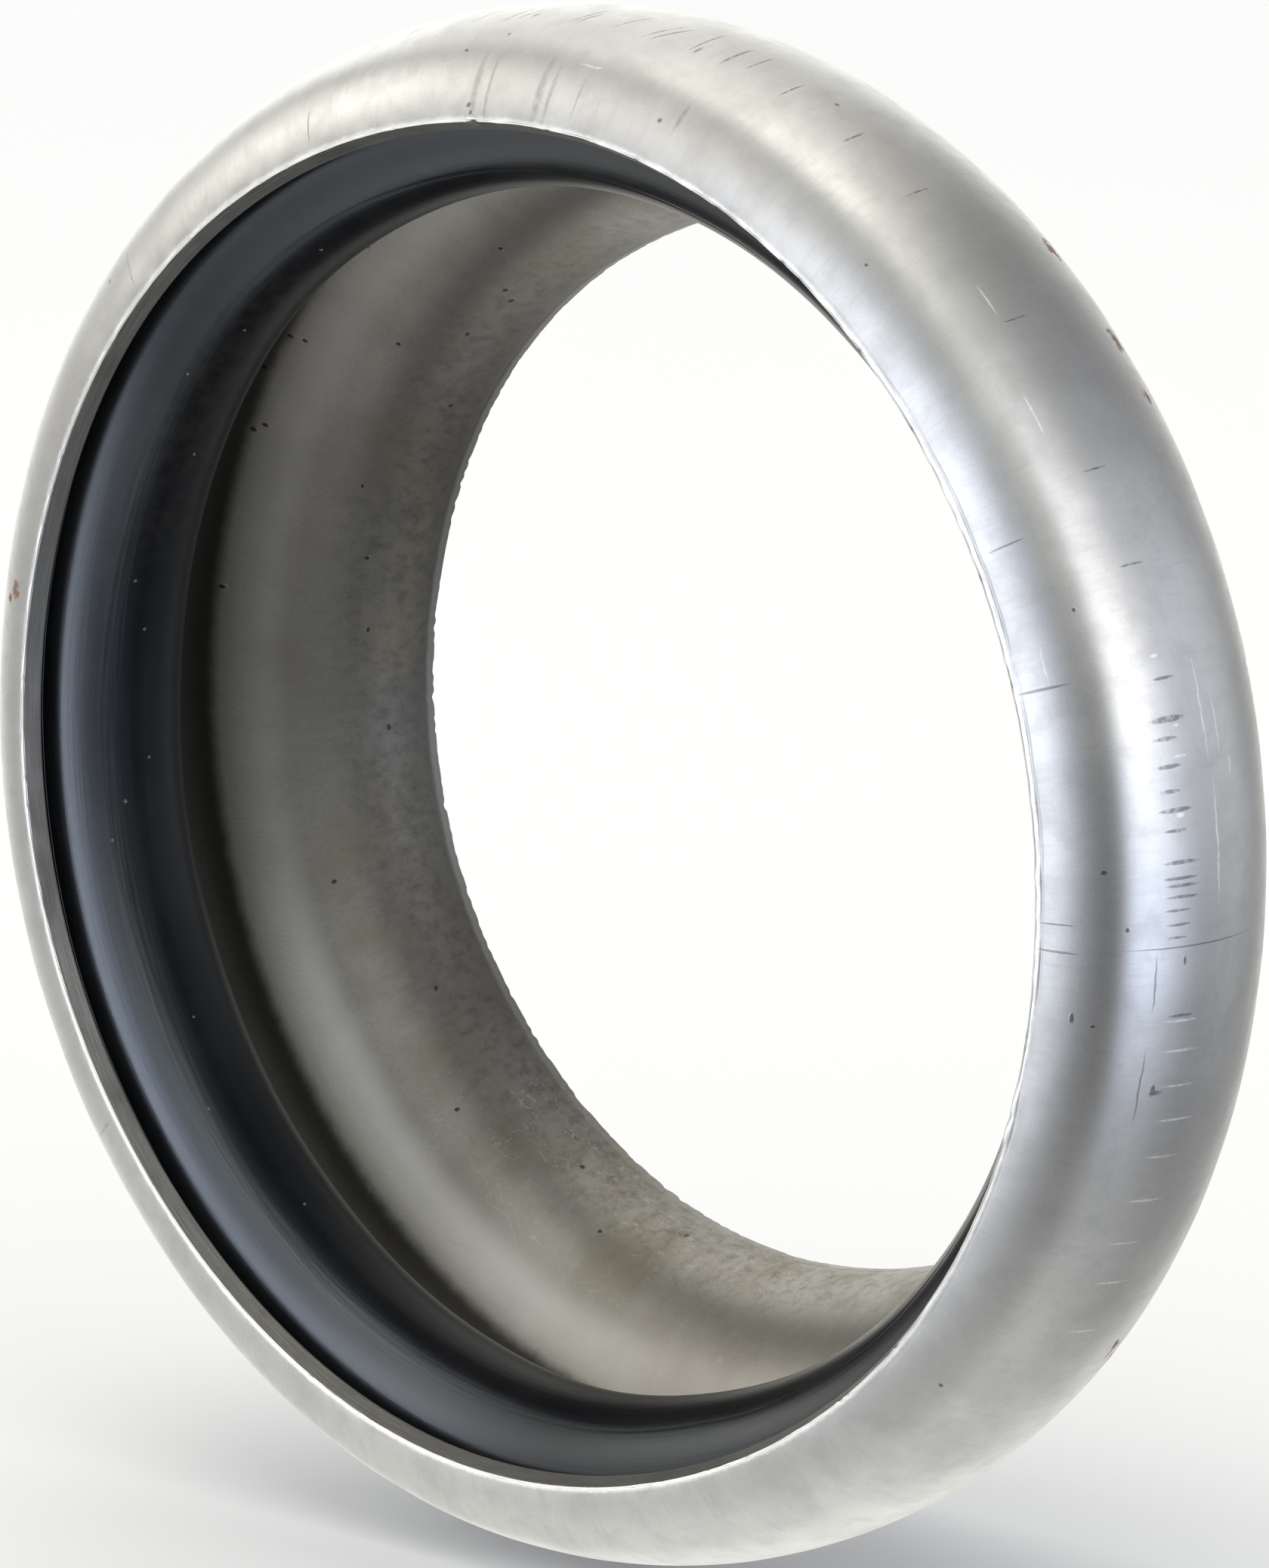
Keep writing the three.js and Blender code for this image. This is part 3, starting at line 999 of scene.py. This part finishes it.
# Dust on the seal's crown, as (ring angle, millimetres along the crown, half width, half length)
DUST = (
    (-172.0, 6.6, 0.55, 0.40), (-168.5, 9.4, 0.35, 0.35), (136.0, 5.0, 0.32, 0.3), (152.0, 2.0, 0.42, 0.3),
    (166.0, 6.0, 0.30, 0.3), (171.0, 3.5, 0.30, 0.3), (-176.0, 2.0, 0.32, 0.3), (122.0, 6.0, 0.4, 0.3),
    (-150.0, 4.0, 0.3, 0.3), (-141.0, 8.0, 0.35, 0.3), (-128.0, 3.0, 0.3, 0.4), (143.0, 9.0, 0.3, 0.3),
)


RUBBER_BLACK = rgb(0.0075, 0.008, 0.0095)
RUBBER_HAZE = rgb(0.011, 0.0115, 0.013)
RUBBER_DUSTY = rgb(0.06, 0.055, 0.05)
DUST_SPECK = rgb(0.30, 0.30, 0.30)
RUBBER_TINT = rgb(0.80, 0.88, 1.0)
RUBBER_IOR = 1.8
RUBBER_BUMP = 0.00005  # metres
DUSTY_AT = (142.0, 6.0, 30.0)  # ring angle, and degrees from it where the dust is whole and gone
DUSTY_BAND = (-6.0, 10.0, 4.0)
# Painted sheen: the seal's front shines most about this ring angle and less away from it, for how light
# falls on it
PAINTED_SHEEN_AT = (-155.0, 30.0, 75.0)
SHINE_START = (6.0, 11.0)  # millimetres along the crown over which it turns shiny towards the mouth


def rubber_shine_and_painted_sheen(g, sheet, place, spun):
    """The front of the seal is rubbed shiny. That it shines most on the left and less elsewhere is painted
    sheen, for how light falls on it. The rest is dull.
    """
    edge = g.plus(place, g.times(g.uneven(spun), 3.0))
    shine = g.rise(edge, *SHINE_START, 0.085, 1.0)
    # Painted sheen, strongest on the left
    return g.times(shine, g.rise(g.near_angle(sheet, *PAINTED_SHEEN_AT), 0.0, 1.0, 0.33, 0.92))


def rubber():
    material, g = new_material("black_rubber")
    sheet = g.sheet()
    place = g.split(sheet)[2]
    haze = g.noise(sheet, 0.05, 4.0, 0.6)
    cloud = g.noise(sheet, 0.4, 3.0)
    grain = g.noise(sheet, 4.0, 2.0)
    spun = g.noise(g.stretch(sheet, (0.02, 0.02, 1.0)), 2.0, 3.0)
    speck = g.times(g.marks(g.flat(sheet), DUST), g.rise(grain, 0.35, 0.6))
    dusty = g.times(g.near_angle(sheet, *DUSTY_AT), g.rise(cloud, 0.35, 0.7))
    dusty = g.times(dusty, g.band(place, *DUSTY_BAND))

    base = g.mix(g.rise(haze, 0.4, 0.7), RUBBER_BLACK, RUBBER_HAZE)
    base = g.mix(g.times(dusty, 0.12), base, RUBBER_DUSTY)
    base = g.mix(g.times(speck, 0.7), base, DUST_SPECK)
    rough = g.plus(0.27, g.times(g.uneven(haze), 0.12), g.times(cloud, 0.06))
    height = g.plus(g.times(spun, 0.5), g.times(grain, 0.25), g.times(cloud, 0.35))
    finish_material(
        g, Base_Color=base, Roughness=rough, IOR=RUBBER_IOR,
        Specular_IOR_Level=rubber_shine_and_painted_sheen(g, sheet, place, spun), Specular_Tint=RUBBER_TINT,
        Normal=g.bump(height, RUBBER_BUMP),
    )
    return material


# ---------------------------------------------------------------- light and floor

# Soft lights in the surroundings, as (azimuth, elevation, spread, colour, strength). Angles are in
# degrees. Azimuth 0 is in front of the mouth and 90 is at its right.
GLOWS = (
    (90.0, 14.0, 11.0, (1.00, 0.96, 0.91), 1.63),
    (92.0, -10.0, 14.0, (0.75, 0.84, 1.00), 1.91),
    (82.0, 38.0, 11.0, (0.97, 0.96, 1.00), 1.21),
    (127.0, 17.0, 20.0, (0.92, 0.95, 1.00), 0.74),
    (154.0, -2.0, 15.0, (0.94, 0.98, 1.00), 0.58),
    (-3.0, 8.0, 16.0, (0.66, 0.70, 1.00), 0.39),
    (-11.0, -1.0, 15.0, (0.89, 0.94, 1.00), 1.90),
    (-38.0, 28.0, 15.0, (1.00, 0.96, 0.86), 1.20),
    (-48.0, -17.0, 10.0, (0.99, 0.98, 1.00), 1.00),
    (-69.0, 19.0, 10.0, (1.00, 0.96, 0.84), 1.79),
    (-130.0, 9.0, 26.0, (1.00, 0.99, 0.93), 1.55),
    (-108.0, 68.0, 21.0, (1.00, 0.97, 0.86), 1.20),
    (-1.0, 81.0, 13.0, (1.00, 0.95, 0.84), 1.05),
    (45.0, 46.0, 26.0, (0.97, 0.99, 0.90), 0.90),
    (-67.0, -53.0, 30.0, (1.00, 0.99, 0.91), 0.90),
    (96.0, -71.0, 28.0, (1.00, 1.00, 0.95), 0.59),
    (-150.0, -46.0, 17.0, (1.00, 0.99, 0.92), 0.75),
)
BACKGROUND = rgb(0.97, 0.97, 0.975)  # what the camera sees behind everything
SURROUND = (0.02, 0.02, 0.03)

# The lamp above, in metres and watts
LAMP_PLACE = (-0.5, 0.3, 2.2)
LAMP_SIZE = 2.4
LAMP_COLOUR = (1.0, 0.99, 0.96)
LAMP_POWER = 16.0

FLOOR_COLOUR = rgb(0.80, 0.815, 0.85)
FLOOR_RADIUS = 12.0
FLOOR_SIDES = 96
FLOOR_BELOW = 0.0001  # metres under the part
FLOOR_FADE = (0.6, 4.0)  # metres from the part over which the floor turns into the background
BLACK = rgb(0.0, 0.0, 0.0)


def glow(g, direction, azimuth, elevation, spread, colour, strength):
    """One soft light in the surroundings: brightest in the middle, without an edge."""
    a, e = math.radians(azimuth), math.radians(elevation)
    aim = (math.sin(a) * math.cos(e), -math.cos(a) * math.cos(e), math.sin(e))
    dot = g.node("VectorMath", {0: direction, 1: aim}, operation="DOT_PRODUCT").outputs["Value"]
    sharp = 1.0 / math.radians(spread) ** 2
    amount = g.math("EXPONENT", g.math("MULTIPLY_ADD", dot, sharp, -sharp))
    tint = tuple(part * strength for part in colour)
    return g.node("VectorMath", {0: tint, "Scale": amount}, operation="SCALE").outputs[0]


def make_world():
    world = bpy.data.worlds.new("studio")
    world.use_nodes = True
    bpy.context.scene.world = world
    g = Graph(world.node_tree)
    direction = g.node("TexCoord").outputs["Generated"]
    total = SURROUND
    for settings in GLOWS:
        inputs = {0: total, 1: glow(g, direction, *settings)}
        total = g.node("VectorMath", inputs, operation="ADD").outputs[0]
    seen = g.node("LightPath").outputs["Is Camera Ray"]
    shader = g.node("Background", {"Color": g.mix(seen, total, BACKGROUND), "Strength": 1.0})
    output = g.node("OutputWorld")
    g.tree.links.new(shader.outputs[0], output.inputs[0])


def make_lamp():
    """A wide soft lamp that shines on the part's middle and isn't seen or mirrored."""
    light = bpy.data.lights.new("overhead", "AREA")
    light.shape = "RECTANGLE"
    light.size = LAMP_SIZE
    light.size_y = LAMP_SIZE
    light.color = LAMP_COLOUR
    light.energy = LAMP_POWER
    lamp = bpy.data.objects.new("overhead", light)
    lamp.location = LAMP_PLACE
    lamp.rotation_mode = "QUATERNION"
    lamp.rotation_quaternion = (-Vector(LAMP_PLACE)).to_track_quat("-Z", "Y")
    lamp.visible_camera = False
    lamp.visible_glossy = False
    bpy.context.scene.collection.objects.link(lamp)


def floor_material():
    """Pale, and fading into the background away from the part, so that it has no far edge."""
    material, g = new_material("floor_pale")
    centre = g.node("TexCoord").outputs["Object"]
    apart = g.node("VectorMath", {0: centre}, operation="LENGTH").outputs["Value"]
    far = g.rise(apart, *FLOOR_FADE)
    finish_material(
        g, Base_Color=g.mix(far, FLOOR_COLOUR, BLACK), Roughness=0.9,
        Specular_IOR_Level=g.math("MULTIPLY_ADD", far, -0.5, 0.5),
        Emission_Color=BACKGROUND, Emission_Strength=far,
    )
    return material


def make_floor():
    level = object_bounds()[0].z - FLOOR_BELOW
    turns = [2 * math.pi * i / FLOOR_SIDES for i in range(FLOOR_SIDES)]
    ring = [(FLOOR_RADIUS * math.cos(a), FLOOR_RADIUS * math.sin(a), level) for a in turns]
    mesh = bpy.data.meshes.new("floor")
    mesh.from_pydata(ring, [], [list(range(FLOOR_SIDES))])
    mesh.materials.append(floor_material())
    floor = bpy.data.objects.new("floor", mesh)
    floor.visible_glossy = False
    bpy.context.scene.collection.objects.link(floor)


# ---------------------------------------------------------------- build

def build():
    make_camera()
    materials = [steel_outside(), steel_cut_face(), steel_throat(), steel_weld_end()]
    shell = shell_piece(materials)
    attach(shell, "root")
    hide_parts("socket_shell")
    seal = seal_piece(rubber())
    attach(seal, "root")
    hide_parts("seal_ring")
    make_floor()
    make_world()
    make_lamp()
    view = bpy.context.scene.view_settings
    view.view_transform = "Standard"
    view.look = "None"


build()
